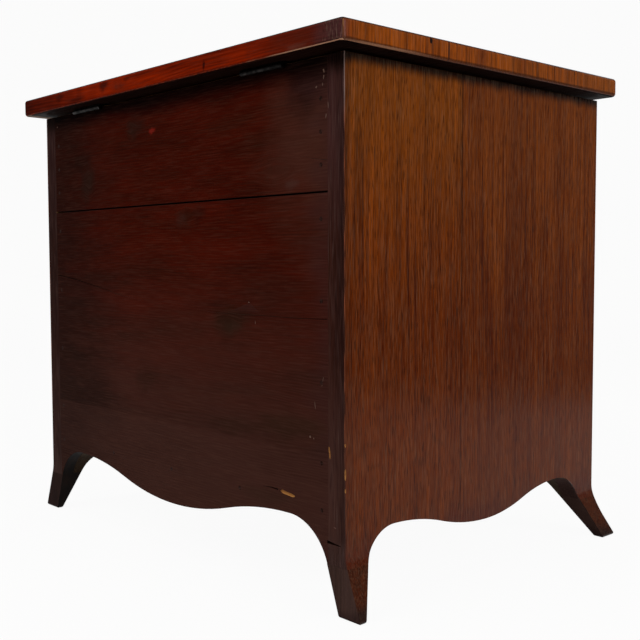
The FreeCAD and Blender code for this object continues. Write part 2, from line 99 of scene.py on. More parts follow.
looking = Vector((-math.sin(CAMERA_HEADING) * math.cos(CAMERA_TILT_DOWN),
                  math.cos(CAMERA_HEADING) * math.cos(CAMERA_TILT_DOWN),
                  -math.sin(CAMERA_TILT_DOWN)))
camera = bpy.data.objects.new("camera", bpy.data.cameras.new("camera"))
scene.collection.objects.link(camera)
camera.location = CAMERA_PLACE
camera.rotation_mode = "QUATERNION"
camera.rotation_quaternion = looking.to_track_quat("-Z", "Y") @ Quaternion((0, 0, 1), CAMERA_ROLL)
camera.data.lens = CAMERA_LENS_MM
scene.camera = camera
print("camera", round((CAMERA_PLACE - CHEST_MIDDLE).length, 3), "m from the chest's middle")

# %% [markdown]
# ## Small helpers for materials
# Colours are picked as sRGB hex values, but Blender's shaders work in linear light, so one function
# converts them. The second helper adds one node to a material, sets its options and fills or links its
# inputs. The third begins a finish. With them, a material reads as a short list of steps instead of a
# page of clicking.

# %% Colour and node helpers
# Socket numbers of a Mix node that mixes colours
FACTOR, MIX_A, MIX_B, MIXED = 0, 6, 7, 2


def paint(hex_colour):
    """An sRGB hex colour as linear RGBA."""
    channels = [int(hex_colour[i:i + 2], 16) / 255 for i in (1, 3, 5)]
    linear = [c / 12.92 if c <= 0.04045 else ((c + 0.055) / 1.055) ** 2.4 for c in channels]
    return (*linear, 1.0)


def node(tree, kind, inputs=None, out=0, **settings):
    """Add a node, set its options, fill or link its inputs, and hand back one output, or all of them."""
    made = tree.nodes.new("ShaderNode" + kind)
    for name, value in settings.items():
        setattr(made, name, value)
    for key, value in (inputs or {}).items():
        if isinstance(value, bpy.types.NodeSocket):
            tree.links.new(value, made.inputs[key])
        else:
            made.inputs[key].default_value = value
    return made.outputs if out is None else made.outputs[out]


def new_finish(name, **shader_values):
    """An empty material with one Principled shader, whose even values are set on its own sockets."""
    material = bpy.data.materials.new(name)
    material.use_nodes = True
    shader = material.node_tree.nodes["Principled BSDF"]
    for key, value in shader_values.items():
        shader.inputs[key.replace("_", " ")].default_value = value
    return material, material.node_tree, shader


print("dark stain in linear light:", [round(c, 4) for c in paint("#4a1a10")])

# %% [markdown]
# ## White paper
# The chest stands on a roll of pale paper. Camera and mirror rays see it as white, mixed with its real
# shading, so a soft shadow stays under the feet. Strong lamps could bleach the paper instead, but they
# would wash out the wood as well.

# %% Paper finish
PAPER_WHITE_SHARE = 0.95

paper, tree, shader = new_finish("studio_paper", Roughness=0.9, Specular_IOR_Level=0.05)
shader.inputs["Base Color"].default_value = paint("#c8c6c3")
ray = node(tree, "LightPath", out=None)
seen = node(tree, "Math", {0: ray["Is Camera Ray"], 1: ray["Is Glossy Ray"]}, operation="MAXIMUM")
seen = node(tree, "Math", {0: seen, 1: ray["Is Transmission Ray"]}, operation="MAXIMUM")
share = node(tree, "Math", {0: seen, 1: PAPER_WHITE_SHARE}, operation="MULTIPLY")
white = node(tree, "Emission", {"Strength": 1.0})
mixed = node(tree, "MixShader", {0: share, 1: shader.outputs[0], 2: white})
tree.links.new(mixed, tree.nodes["Material Output"].inputs["Surface"])
print("the camera sees the paper as", PAPER_WHITE_SHARE, "white")

# %% [markdown]
# ## Hanging the paper
# A photographer hangs the roll so that it curves up behind the chest without a corner. One wide sheet
# would be simpler, but the polished side would mirror it all over. So the floor ends a little to the
# right of the picture: the side mirrors white paper in its lower part and the dim room above that.
# Further back, where the side doesn't mirror it, a wing of paper carries the white on to the right.

# %% Paper sweep
PAPER_LEFT, PAPER_RIGHT = -4.5, 1.42
PAPER_START = -7.0
WING_RIGHT, WING_START = 5.0, 1.3
WALL_DISTANCE = 2.8
COVE_RADIUS = 0.5
COVE_STEPS = 10
WALL_HEIGHT = 3.2

ahead = Vector((looking.x, looking.y, 0)).normalized()
aside = Vector((ahead.y, -ahead.x, 0))


def hang_paper(name, left, right, start):
    """A sheet that lies on the floor from its start, then curves up into a wall; all in metres."""
    profile = [(start, 0.0)]
    for i in range(COVE_STEPS + 1):
        bend = math.radians(90 * i / COVE_STEPS)
        out = WALL_DISTANCE - COVE_RADIUS * (1 - math.sin(bend))
        profile.append((out, COVE_RADIUS * (1 - math.cos(bend))))
    profile.append((WALL_DISTANCE, WALL_HEIGHT))
    corners = []
    for edge in (left, right):
        corners += [ahead * out + aside * edge + Vector((0, 0, height)) for out, height in profile]
    count = len(profile)
    strips = [(i, i + 1, count + i + 1, count + i) for i in range(count - 1)]
    sheet = bpy.data.meshes.new(name)
    sheet.from_pydata(corners, [], strips)
    sheet.polygons.foreach_set("use_smooth", [True] * len(strips))
    sheet.materials.append(paper)
    hung = bpy.data.objects.new(name, sheet)
    scene.collection.objects.link(hung)


hang_paper("paper_sweep", PAPER_LEFT, PAPER_RIGHT, PAPER_START)
hang_paper("paper_wing", PAPER_RIGHT, WING_RIGHT, WING_START)
print("paper", PAPER_RIGHT - PAPER_LEFT, "m wide, its wall", WALL_DISTANCE, "m behind the chest's middle")

# %% [markdown]
# ## Light
# One big soft lamp stands on the chest's left, so the left side is bright and the back is dim. A weaker
# one behind the chest and one overhead keep the lid's edges readable, and a plain grey surround fills the
# shadows. Small hard lamps would be simpler to aim, but would draw sharp highlights that the photograph
# doesn't have.

# %% Lamps and surround
SURROUND_LEVEL = 0.22


def soft_lamp(name, place, target, size, watts):
    """A square lamp at a place, aimed at a target; places and size are in metres."""
    lamp = bpy.data.objects.new(name, bpy.data.lights.new(name, "AREA"))
    scene.collection.objects.link(lamp)
    lamp.data.shape = "SQUARE"
    lamp.data.size = size
    lamp.data.energy = watts
    lamp.location = place
    lamp.rotation_mode = "QUATERNION"
    lamp.rotation_quaternion = (Vector(target) - Vector(place)).to_track_quat("-Z", "Y")


soft_lamp("key_lamp", (-2.5, 0.0, 1.3), (0, 0, 0.3), size=1.4, watts=38)
soft_lamp("fill_lamp", (0.3, 1.8, 1.9), (0, 0, 0.3), size=1.2, watts=25)
soft_lamp("top_lamp", (0, 0, 3.0), (0, 0, 0), size=1.6, watts=24)
surround = bpy.data.worlds.new("studio_surround")
surround.use_nodes = True
surround.node_tree.nodes["Background"].inputs["Color"].default_value = (1, 1, 1, 1)
surround.node_tree.nodes["Background"].inputs["Strength"].default_value = SURROUND_LEVEL
scene.world = surround
scene.view_settings.view_transform = "Standard"
print("three lamps and a grey surround of", SURROUND_LEVEL)

# %% [markdown]
# ## Wood grain, worked out in millimetres
# Wood looks different along and across its grain, so every pattern starts from "grain space": the place
# on the piece in millimetres, turned so that its third axis runs along the grain, and bent a little,
# because no tree is straight. Streaks of any real width and length are then one stretched noise. Solid
# noise is used instead of an image, so the pattern runs round an edge as it does in real timber.

# %% Grain helpers
GRAIN_ORDER = {"x": ("Z", "Y", "X"), "y": ("X", "Z", "Y"), "z": ("Y", "X", "Z")}
WANDER_ACROSS_MM, WANDER_ALONG_MM = 90.0, 260.0


def place_in_mm(tree):
    place = node(tree, "TexCoord", out="Object")
    return node(tree, "VectorMath", {0: place, "Scale": 1 / MM}, operation="SCALE")


def grain_space(tree, along, shift, wander):
    """Place in millimetres as (across, through, along), the grain drifting by up to wander millimetres."""
    place = node(tree, "VectorMath", {0: place_in_mm(tree), 1: shift}, operation="ADD")
    axes = node(tree, "SeparateXYZ", {0: place}, out=None)
    turned = node(tree, "CombineXYZ", {i: axes[axis] for i, axis in enumerate(GRAIN_ORDER[along])})
    size = (1 / WANDER_ACROSS_MM, 1 / WANDER_ACROSS_MM, 1 / WANDER_ALONG_MM)
    slow = node(tree, "VectorMath", {0: turned, 1: size}, operation="MULTIPLY")
    drift = node(tree, "TexNoise", {"Vector": slow, "Scale": 1.0, "Detail": 1.0}, out="Color")
    drift = node(tree, "VectorMath", {0: drift, 1: (0.5, 0.5, 0.5)}, operation="SUBTRACT")
    drift = node(tree, "VectorMath", {0: drift, 1: (2 * wander, 2 * wander, 0)}, operation="MULTIPLY")
    return node(tree, "VectorMath", {0: turned, 1: drift}, operation="ADD")


def streaks(tree, space, across, along, low=0.35, high=0.65, detail=2.0):
    """Noise stretched to streaks of a size in millimetres, spread over 0 to 1 between low and high."""
    size = (1 / across, 1 / across, 1 / along)
    cells = node(tree, "VectorMath", {0: space, 1: size}, operation="MULTIPLY")
    cloud = node(tree, "TexNoise", {"Vector": cells, "Scale": 1.0, "Detail": detail})
    return node(tree, "MapRange", {"Value": cloud, "From Min": low, "From Max": high})


def blend(tree, factor, under, over):
    """Lay one colour over another by a factor, which may be a pattern or a number."""
    return node(tree, "Mix", {FACTOR: factor, MIX_A: under, MIX_B: over}, out=MIXED, data_type="RGBA")


def weigh(tree, pattern, weight, add=0.0):
    """A pattern times a weight, plus a number or another pattern."""
    return node(tree, "Math", {0: pattern, 1: weight, 2: add}, operation="MULTIPLY_ADD")


print("grain helpers ready for", ", ".join(GRAIN_ORDER))

# %% [markdown]
# ## Coats over the grain
# Two hundred years of light, polish and dirt lie on top of the grain, and some coats are painted shade and
# painted light as well. They could be painted by hand on an image, but then they would have one fixed
# sharpness. Three kinds of coat are enough here: a wash that grows along an axis, a spot round a place,
# and a scatter of flecks. A finish lists its coats in the order they are laid.

# %% Coat helpers
FRONT_SHIFT, FRONT_ACROSS_MM, FRONT_ALONG_MM = (3, 8, 21), 22, 110
SPOT_RAGGED, SPOT_GRAIN = 0.6, 0.9
FLECK_SHIFT = (17, 29, 5)


def wash(tree, colour, axis, start, end, tint, amount, ragged=0.0, along="z"):
    """Tint from one place on an axis to another, in millimetres; the front is ragged along the grain."""
    at = node(tree, "SeparateXYZ", {0: place_in_mm(tree)}, out=axis)
    if ragged:
        space = grain_space(tree, along, FRONT_SHIFT, 2.0)
        fronts = streaks(tree, space, FRONT_ACROSS_MM, FRONT_ALONG_MM, 0.3, 0.7, 5.0)
        at = weigh(tree, fronts, 2 * ragged, weigh(tree, at, 1.0, -ragged))
    reach = node(tree, "MapRange", {"Value": at, "From Min": start, "From Max": end, "To Max": amount},
                 interpolation_type="SMOOTHSTEP")
    return blend(tree, reach, colour, paint(tint))


def spot(tree, colour, centre, size, tint, amount):
    """Lay a soft ragged patch round a place; its centre and half sizes are in millimetres."""
    off = node(tree, "VectorMath", {0: place_in_mm(tree), 1: centre}, operation="SUBTRACT")
    off = node(tree, "VectorMath", {0: off, 1: size}, operation="DIVIDE")
    away = node(tree, "VectorMath", {0: off}, out="Value", operation="LENGTH")
    rough = streaks(tree, off, SPOT_GRAIN, SPOT_GRAIN, 0.3, 0.7, 5.0)
    away = weigh(tree, rough, SPOT_RAGGED, weigh(tree, away, 1.0, -SPOT_RAGGED / 2))
    near = node(tree, "MapRange", {"Value": away, "From Min": 1.0, "From Max": 0.2, "To Max": amount},
                interpolation_type="SMOOTHSTEP")
    return blend(tree, near, colour, paint(tint))


def flecks(tree, colour, along, across_mm, along_mm, low, high, tint, amount):
    """Scatter short scratches of one size that run along an axis."""
    scratched = streaks(tree, grain_space(tree, along, FLECK_SHIFT, 1.0), across_mm, along_mm, low, high)
    return blend(tree, weigh(tree, scratched, amount), colour, paint(tint))


def lay_coats(tree, colour, coats):
    """Lay coats over a colour in order. Each coat is a function and its values."""
    for coat, *values in coats:
        colour = coat(tree, colour, *values)
    return colour


print("washes, spots and flecks ready")

# %% [markdown]
# ## Mahogany
# Mahogany veneer is sliced thin, glued on, and rubbed with shellac until it has a satin shine.
# Straight-grained leaves show broad bands, narrow ribbons, fine fibres, pale hairs and short dark pores.
# An image of veneer would repeat, so each of those is one set of streaks of its own real size. The pores
# are really about 0.3 mm wide, and are drawn 0.8 mm wide so that they show at this scale.

# %% Mahogany finish
# Width and length of each mark in millimetres
BANDS, RIBBONS, LINES, FIBRES = (24, 900), (5, 300), (2.2, 160), (1.1, 30)
PORES, HAIRS, PATCHES = (0.8, 11), (0.9, 22), (110, 260)


def show(tree, shader, colour, rough, height, strength, depth_mm):
    """Link a finish's colour, its roughness if that varies, and its relief to the shader."""
    tree.links.new(colour, shader.inputs["Base Color"])
    if rough is not None:
        tree.links.new(rough, shader.inputs["Roughness"])
    bump = node(tree, "Bump", {"Height": height, "Strength": strength, "Distance": depth_mm * MM})
    tree.links.new(bump, shader.inputs["Normal"])


def mahogany(name, along, tones, shift=(0, 0, 0), wander=5.0, pore_show=0.4, coats=()):
    """Polished mahogany. Its tones are dark grain, light grain, warm patches and pores."""
    dark, light, warm, pore = [paint(tone) for tone in tones]
    material, tree, shader = new_finish(name, Specular_IOR_Level=0.07, IOR=1.5)
    space = grain_space(tree, along, shift, wander)
    bands = streaks(tree, space, *BANDS)
    ribbons = streaks(tree, space, *RIBBONS)
    lines = streaks(tree, space, *LINES, detail=3.0)
    fibres = streaks(tree, space, *FIBRES, 0.3, 0.7)
    pores = streaks(tree, space, *PORES, 0.55, 0.7, 0.0)
    hairs = streaks(tree, space, *HAIRS, 0.45, 0.75, 3.0)
    patches = streaks(tree, space, *PATCHES)
    tone = -0.12
    for marks, weight in ((bands, 0.15), (ribbons, 0.2), (lines, 0.4), (fibres, 0.25)):
        tone = weigh(tree, marks, weight, tone)
    colour = blend(tree, tone, dark, light)
    colour = blend(tree, weigh(tree, patches, 0.3), colour, warm)
    colour = lay_coats(tree, colour, coats)
    colour = blend(tree, weigh(tree, hairs, 0.12), colour, paint("#a08468"))
    colour = blend(tree, weigh(tree, pores, pore_show), colour, pore)
    height = weigh(tree, pores, -1.0, weigh(tree, fibres, 0.4))
    show(tree, shader, colour, weigh(tree, fibres, 0.1, 0.1), height, strength=0.25, depth_mm=0.15)
    return material


print("mahogany marks from", PORES[0], "to", PATCHES[0], "mm wide")

# %% [markdown]
# ## Leaves of veneer
# Each side carries two leaves that meet at an upright seam, and light and dirt have coloured them
# differently. One material could serve for all leaves, but then the grain would run on across the seam.
# So every leaf is shifted to its own place in the grain, and the coats that the upright leaves share are
# listed once. Among them are painted shade under the lid and a faint painted reflection of the floor.

# %% Leaves
LEAF_TONES = ("#260200", "#883e08", "#642800", "#120400")
FRONT_LEAF_TONES = ("#320600", "#823e0c", "#662c04", "#1c0804")
LEAF_COATS = (
    (wash, "Z", 370, 250, "#441000", 0.4, 20.0),
    # A faint painted reflection of the floor near the bottom.
    (wash, "Z", 200, 120, "#84441e", 0.06, 15.0),
    (wash, "Z", 92, 52, "#481a0d", 0.9, 10.0),
    # Painted shade under the lid.
    (wash, "Z", 505, 517, "#0a0604", 0.95, 2.0),
)
REAR_LEAF_COATS = (
    (wash, "Z", 340, 500, "#965616", 0.2, 20.0),
    (wash, "Y", 46, 40.2, "#220d05", 0.4),
    (wash, "Y", 42.4, 41.2, "#160602", 0.6),
    (wash, "Y", 194, 206, "#2c1208", 0.5, 4.0),
)
FRONT_LEAF_COATS = (
    (spot, (-283, -52, 330), (60, 30, 420), "#3c1408", 0.4),
    (wash, "Z", 360, 480, "#8e5020", 0.06, 20.0),
)
side_leaf_rear = mahogany("mahogany_side_leaf_rear", "z", LEAF_TONES, pore_show=0.5,
                          coats=REAR_LEAF_COATS + LEAF_COATS)
side_leaf_front = mahogany("mahogany_side_leaf_front", "z", FRONT_LEAF_TONES, shift=(310, 170, 90),
                           pore_show=0.45, coats=FRONT_LEAF_COATS + LEAF_COATS)
front_leaf = mahogany("mahogany_front_leaf", "z", LEAF_TONES, shift=(40, 700, 30), coats=LEAF_COATS)
lid_leaf = mahogany("mahogany_lid_leaf", "x", LEAF_TONES, shift=(90, 20, 400), wander=12.0)
print("four straight-grained leaves")

# %% [markdown]
# ## Crossbanding and solid mahogany
# Crossbanding is a border of veneer whose grain runs across it, cut from the end of a leaf. The feet are
# solid wood, duller and darker, and blackened at their tips by mops and shoes. Each could have a finish
# written for it alone, but the same recipe with the grain turned and other tones keeps the wood alike.

# %% Crossbands and feet
BAND_TONES = ("#3a1202", "#a64e0a", "#904c12", "#200a02")
FOOT_TONES = ("#260d07", "#54220e", "#46200e", "#180a06")
EDGE_COATS = (
    (wash, "Y", 20, -180, "#7a4418", 0.3, 40.0),
    (wash, "Y", 205, 226, "#64281a", 0.7, 6.0),
    (spot, (-301, 86, 532), (9, 2.2, 40), "#2a0a04", 0.95),
    (spot, (-301, 34, 532), (9, 14, 40), "#5c260c", 0.6),
    (spot, (-301, -34, 532), (9, 7, 40), "#5c260c", 0.5),
    # Painted shade along the bottom of the edge, and a thin painted highlight on its lower arris.
    (wash, "Z", 526.5, 524.5, "#341406", 0.8, 0.4),
    (spot, (-302, 170, 523), (9, 90, 2.0), "#b08060", 0.4),
    (wash, "Z", 539.4, 541.4, "#1a0c06", 0.8, 0.5),
)
crossband_edge = mahogany("mahogany_crossband_edge", "z", BAND_TONES, shift=(5, 90, 3), wander=2.0,
                          pore_show=0.3, coats=EDGE_COATS)
crossband_across = mahogany("mahogany_crossband_across", "y", BAND_TONES, shift=(70, 4, 10), wander=3.0)
crossband_along = mahogany("mahogany_crossband_along", "x", BAND_TONES, shift=(4, 50, 9), wander=3.0)
foot_solid = mahogany("mahogany_solid_foot", "z", FOOT_TONES, shift=(500, 40, 8),
                      coats=((wash, "Z", 20, 6, "#1a1010", 0.85, 4.0),))
print("crossbanding runs across each edge, and the feet are solid")

# %% [markdown]
# ## Growth rings and knots
# A pine board shows its tree's yearly rings as lines along it, and a knot where a branch grew. Knots are
# given in millimetres along and across the board. A knot could be a painted disc, but here it pushes the
# ring lines aside, so that the grain flows round it.

# %% Rings and knots
KNOT_PULL = 0.85


def growth_rings(tree, phase, ring_mm):
    """Waves from 0 to 1, one to each ring."""
    turn = weigh(tree, phase, 2 * math.pi / ring_mm)
    return weigh(tree, node(tree, "Math", {0: turn}, operation="SINE"), 0.5, 0.5)


def bend_round_knots(tree, across, run, knots):
    """The place across the grain, pushed aside at knots, and a mask of the knots if there are any."""
    bent = across
    knotty = None
    for knot_along, knot_across, half_along, half_across in knots:
        off_along = weigh(tree, run, 1 / half_along, -knot_along / half_along)
        off_across = weigh(tree, across, 1 / half_across, -knot_across / half_across)
        off = node(tree, "CombineXYZ", {0: off_along, 1: off_across})
        away = node(tree, "VectorMath", {0: off}, out="Value", operation="LENGTH")
        near = node(tree, "MapRange", {"Value": away, "From Min": 1.0, "From Max": 0.1},
                    interpolation_type="SMOOTHSTEP")
        pull = node(tree, "Math", {0: near, 1: off_across}, operation="MULTIPLY")
        bent = weigh(tree, pull, -KNOT_PULL * half_across, bent)
        knotty = near if knotty is None else node(tree, "Math", {0: knotty, 1: near}, operation="MAXIMUM")
    return bent, knotty


print("rings bend round knots by up to", KNOT_PULL, "of their half width")

# %% [markdown]
# ## Stained pine
# The back, the lid's core and the edges of the sides are pine, brushed with a dark red stain to pass for
# mahogany. The stain soaks in unevenly, growth rings show as faint lines in places, and knots stay dull.
# One dark colour under an image of grain would be quicker, but it would not follow the knots.

# %% Stained pine finish
# Width and length of each drift of the rings, and how far it pushes them, all in millimetres
RING_DRIFTS = ((45, 400, 14.0), (9, 50, 2.4))


def stained_pine(name, along, dark, red, ring_mm=3.1, ring_show=0.26, knots=(), shift=(0, 0, 0),
                 coats=()):
    """Pine under red-brown stain. A knot is (along, across, half length, half width) in millimetres."""
    material, tree, shader = new_finish(name, Specular_IOR_Level=0.006, IOR=1.5)
    space = grain_space(tree, along, shift, 4.0)
    across, through, run = node(tree, "SeparateXYZ", {0: space}, out=None)
    bent, knotty = bend_round_knots(tree, across, run, knots)
    flow = node(tree, "CombineXYZ", {0: bent, 1: through, 2: run})
    phase = bent
    for drift_across, drift_along, push in RING_DRIFTS:
        phase = weigh(tree, streaks(tree, flow, drift_across, drift_along, 0.2, 0.8), push, phase)
    rings = growth_rings(tree, phase, ring_mm)
    fibres = streaks(tree, flow, 1.3, 60, 0.3, 0.7, 3.0)
    hairs = streaks(tree, flow, 1.1, 24, 0.45, 0.75, 3.0)
    blotches = streaks(tree, flow, 30, 130, 0.3, 0.7, 4.0)
    tone = weigh(tree, fibres, 0.4, weigh(tree, blotches, 0.6))
    colour = blend(tree, tone, paint(dark), paint(red))
    if knotty is not None:
        dusty = weigh(tree, streaks(tree, flow, 5, 9, 0.3, 0.7, 4.0), 0.55, 0.08)
        dusty = node(tree, "Math", {0: dusty, 1: knotty}, operation="MULTIPLY")
        colour = blend(tree, dusty, colour, paint("#301a12"))
    colour = lay_coats(tree, colour, coats)
    colour = blend(tree, weigh(tree, hairs, 0.1), colour, paint("#7a5244"))
    in_places = streaks(tree, flow, 18, 90, 0.35, 0.7)
    ring_lines = node(tree, "Math", {0: rings, 1: in_places}, operation="MULTIPLY")
    colour = blend(tree, weigh(tree, ring_lines, ring_show), colour, paint("#140402"))
    height = weigh(tree, rings, 0.6, fibres)
    show(tree, shader, colour, weigh(tree, fibres, 0.15, 0.4), height, strength=0.3, depth_mm=0.2)
    return material


print("stained pine with", len(RING_DRIFTS), "drifts in its rings")

# %% [markdown]
# ## The stained back
# The back is the largest stained face. Its stain is redder in the middle. Towards the bottom a greyish
# painted reflection of the floor lies over it, towards the chest's right end it is darker with painted
# shade, and under the lid it has painted shade. The patches could be painted on an image. Here each patch
# is one
# row of numbers: where it is and how large, what tint, and how strong. A row is easy to read and to move.

# %% Back boards
BACK_FACE_MM, BACK_SPOT_DEPTH_MM = 206.0, 120
BACK_KNOTS = ((75, 485, 15, 18), (174, 430, 17, 28), (-33, 380, 32, 17),
              (-186, 420, 42, 22), (-106, 267, 30, 17))


def spots_on(y, depth, rows):
    """Spot coats on an upright face at y. A row is x, z, half width, half height, tint and amount."""
    return tuple((spot, (x, y, z), (wide, depth, high), tint, amount)
                 for x, z, wide, high, tint, amount in rows)


# A greyish painted reflection of the floor towards the bottom, and painted shade towards the chest's right
# end.
BACK_SHEEN_AND_SHADE = (
    (wash, "Z", 380, 90, "#3e251e", 0.9),
    (wash, "X", 60, 250, "#1a0b07", 0.76, 45.0, "x"),
)
BACK_PATCHES = spots_on(BACK_FACE_MM, BACK_SPOT_DEPTH_MM, (
    (-290, 440, 170, 150, "#46281f", 0.75),
    (-184, 303, 80, 24, "#26130d", 0.4),
    (-110, 470, 60, 17, "#2c140a", 0.4),
    (-165, 452, 45, 13, "#2a130b", 0.45),
    (-58, 381, 16, 14, "#260a05", 0.6),
    (190, 455, 30, 20, "#1a0c08", 0.5),
    (-205, 170, 70, 22, "#2c1c12", 0.55),
    (-120, 160, 70, 14, "#2c1a12", 0.4),
    (-170, 96, 60, 14, "#2a1d14", 0.5),
    (-36, 379, 22, 13, "#280e06", 0.6),
    (-24, 376, 14, 12, "#3c241e", 0.25),
    (-112, 268, 42, 24, "#29170e", 0.7),
    (-116, 262, 20, 12, "#34251b", 0.3),
    (66, 484, 26, 19, "#24140f", 0.6),
    (178, 428, 24, 32, "#211510", 0.55),
    (50, 194, 34, 22, "#22130c", 0.4),
    (-238, 496, 52, 44, "#180a0c", 0.72),
))
BACK_EDGES = (
    (wash, "X", -222, -262, "#382220", 0.4, 18.0, "x"),
    (wash, "Z", 185, 152, "#2a1813", 0.15, 3.0, "x"),
    (wash, "Z", 150.1, 148.9, "#4e2f28", 0.2),
)
BACK_MARKS = spots_on(BACK_FACE_MM, BACK_SPOT_DEPTH_MM, (
    (31, 478.5, 9, 5, "#a82a20", 0.4),
    (-210, 404, 14, 8, "#4c3a34", 0.28),
))
LID_SHADE = ((wash, "Z", 490, 514, "#060202", 0.93, 4.0, "x"),)
back_stain = stained_pine("stained_pine_back", "x", "#2c0a03", "#4a0f04", knots=BACK_KNOTS,
                          coats=BACK_SHEEN_AND_SHADE + BACK_PATCHES + BACK_EDGES + BACK_MARKS + LID_SHADE)
print(len(BACK_KNOTS), "knots and", len(BACK_PATCHES + BACK_MARKS), "patches on the back")

# %% [markdown]
# ## Stained edges
# At the back corners the sides and the feet show a strip of their own wood, stained like the back but
# drier and greyer, with fine scratches. The finish of the back could be used again, but these strips
# stand upright. So they get the same recipe with the grain turned, and coats of their own.

# %% Edges of the sides and feet
EDGE_RING_MM = 4.0
EDGE_SHIFT = (30, 60, 0)
BOARD_EDGE_COATS = (
    (wash, "Z", 330, 450, "#442826", 0.75, 15.0),
    (wash, "Z", 240, 150, "#4a302a", 0.8, 15.0),
    (wash, "X", 200, 262, "#160b0a", 0.6),
    (wash, "X", -262, -282, "#180e0e", 0.5, 4.0),
    (wash, "Z", 95, 55, "#3c2b28", 0.8, 12.0),
    (flecks, "z", 1.0, 40, 0.54, 0.72, "#604a46", 0.45),
    (flecks, "z", 2.0, 22, 0.5, 0.7, "#160a0a", 0.45),
    # Painted shade under the lid.
    (wash, "Z", 496, 515, "#060202", 0.9, 5.0),
)
FOOT_EDGE_COATS = (
    (wash, "X", -150, 150, "#1e1210", 0.85),
    (wash, "Z", 14, 4, "#2a1c1c", 0.6, 4.0),
)
edge_stain = stained_pine("stained_pine_board_edge", "z", "#2a120c", "#40211a", EDGE_RING_MM, 0.15,
                          shift=EDGE_SHIFT, coats=BOARD_EDGE_COATS)
foot_edge = stained_pine("stained_pine_foot_edge", "z", "#34241f", "#4e3a35", EDGE_RING_MM, 0.1,
                         shift=EDGE_SHIFT, coats=FOOT_EDGE_COATS)
print("stain on the edges of the sides and feet")

# %% [markdown]
# ## The stained lid
# The lid's pine edge is the reddest place on the chest, with a knot, some dark patches, and rough end
# grain on the left cleat. Underneath, the rim is near-black with painted shade and some grime, and the
# overhang at the right end has a pale painted strip of light from the floor. One finish for the whole lid
# would be shorter, but its edge, its cleat and its underside differ so much that each has a list of coats.

# %% Lid's edge and underside
LID_TONES = ("#440800", "#962400")
LID_RING_MM, LID_RING_SHOW = 3.4, 0.5
LID_BACK_MM, LID_SPOT_DEPTH_MM = 228, 30
LID_KNOTS = ((66, 531, 22, 11),)
# Darker towards the chest's right end.
LID_DARKER_TOWARDS_RIGHT = (
    (wash, "X", 80, 230, "#3a0a02", 0.6, 40.0),
    (wash, "X", 240, 298, "#2c0500", 0.7, 12.0),
)
LID_PATCHES = spots_on(LID_BACK_MM, LID_SPOT_DEPTH_MM, (
    (98, 535, 14, 9, "#260805", 0.75),
    (204, 534, 16, 7, "#260805", 0.6),
    (160, 527, 24, 5, "#2c0803", 0.5),
    (48, 536, 9, 4, "#2c0803", 0.5),
    (20, 537, 40, 4, "#300802", 0.5),
    (-100, 529, 3, 8, "#2a0402", 0.9),
    (-242, 525, 18, 5, "#7e5244", 0.45),
))
LID_END_COATS = (
    (wash, "X", -150, -250, "#481a10", 0.6, 25.0),
    (wash, "X", -250, -292, "#442828", 0.9, 9.0),
)
CLEAT_FLECKS = (
    (flecks, "z", 2.2, 5, 0.5, 0.68, "#240c08", 0.6),
    (flecks, "z", 1.0, 14, 0.54, 0.72, "#947a68", 0.6),
)
UNDERSIDE_SHADE_AND_LIGHT = (
    # Painted shade, with some grime, round the rim where the lid overhangs the carcase.
    (wash, "Y", -190, -208, "#0e0706", 0.85),
    (wash, "Y", 190, 208, "#0e0403", 0.93),
    (wash, "X", -262, -284, "#070303", 0.95),
    (wash, "X", 262, 281, "#0e0706", 0.85),
    # A pale painted strip of light from the floor under the right-hand overhang.
    (wash, "X", 282, 288, "#8a7464", 0.85),
)
lid_stain = stained_pine("stained_pine_lid_edge", "x", *LID_TONES, LID_RING_MM, LID_RING_SHOW, LID_KNOTS,
                         coats=LID_DARKER_TOWARDS_RIGHT + LID_PATCHES + LID_END_COATS)
cleat_end = stained_pine("stained_pine_cleat_end", "x", *LID_TONES, LID_RING_MM, LID_RING_SHOW,
                         coats=LID_END_COATS + CLEAT_FLECKS)
lid_under_stain = stained_pine("stained_pine_lid_under", "x", "#2a120a", "#4a2212", shift=(80, 30, 10),
                               coats=UNDERSIDE_SHADE_AND_LIGHT)
print("stain on the lid, with", len(LID_PATCHES), "patches on its edge")

# %% [markdown]
# ## Rubbed and grimy edges
# Where a veneer's edge stands at a corner, handling rubs the polish off and leaves a broken pale line. On
# top of the lid, wax and dust gather along the outermost edge and turn it almost black. A mask from the
# mesh's curvature could find such edges, but here each narrow face simply gets a finish of its own.

# %% Edge finishes
EDGE_PATCHES = (6, 25)


def edge_finish(name, under, over, low, high, coats=()):
    """Two colours broken along the edge in patches 6 mm wide and 25 mm long."""
    material, tree, shader = new_finish(name, Specular_IOR_Level=0.05, Roughness=0.6)
    patches = streaks(tree, grain_space(tree, "z", (0, 0, 0), 4.0), *EDGE_PATCHES, low, high, 4.0)
    colour = lay_coats(tree, blend(tree, patches, paint(under), paint(over)), coats)
    show(tree, shader, colour, None, patches, strength=0.3, depth_mm=0.2)
    return material


RUBBED_COATS = (
    (wash, "Z", 440, 500, "#a08a84", 0.5, 20.0),
    (wash, "Z", 210, 110, "#33201e", 0.85, 25.0),
)
rubbed_edge = edge_finish("rubbed_mahogany_edge", "#3a1c12", "#784028", 0.42, 0.62, RUBBED_COATS)
band_end = edge_finish("rubbed_crossband_end", "#54301e", "#94663e", 0.45, 0.62)
grimy_edge = edge_finish("grimy_mahogany_edge", "#140a06", "#2c160a", 0.4, 0.7)
worn_arris = edge_finish("worn_pine_arris", "#4a1206", "#7a2a0c", 0.4, 0.62,
                         ((wash, "X", -165, -240, "#b88c70", 0.8, 25.0),))
foot_arris = edge_finish("worn_foot_arris", "#241412", "#4a342c", 0.45, 0.65,
                         ((wash, "Z", 34, 20, "#6a5650", 0.6, 8.0),))
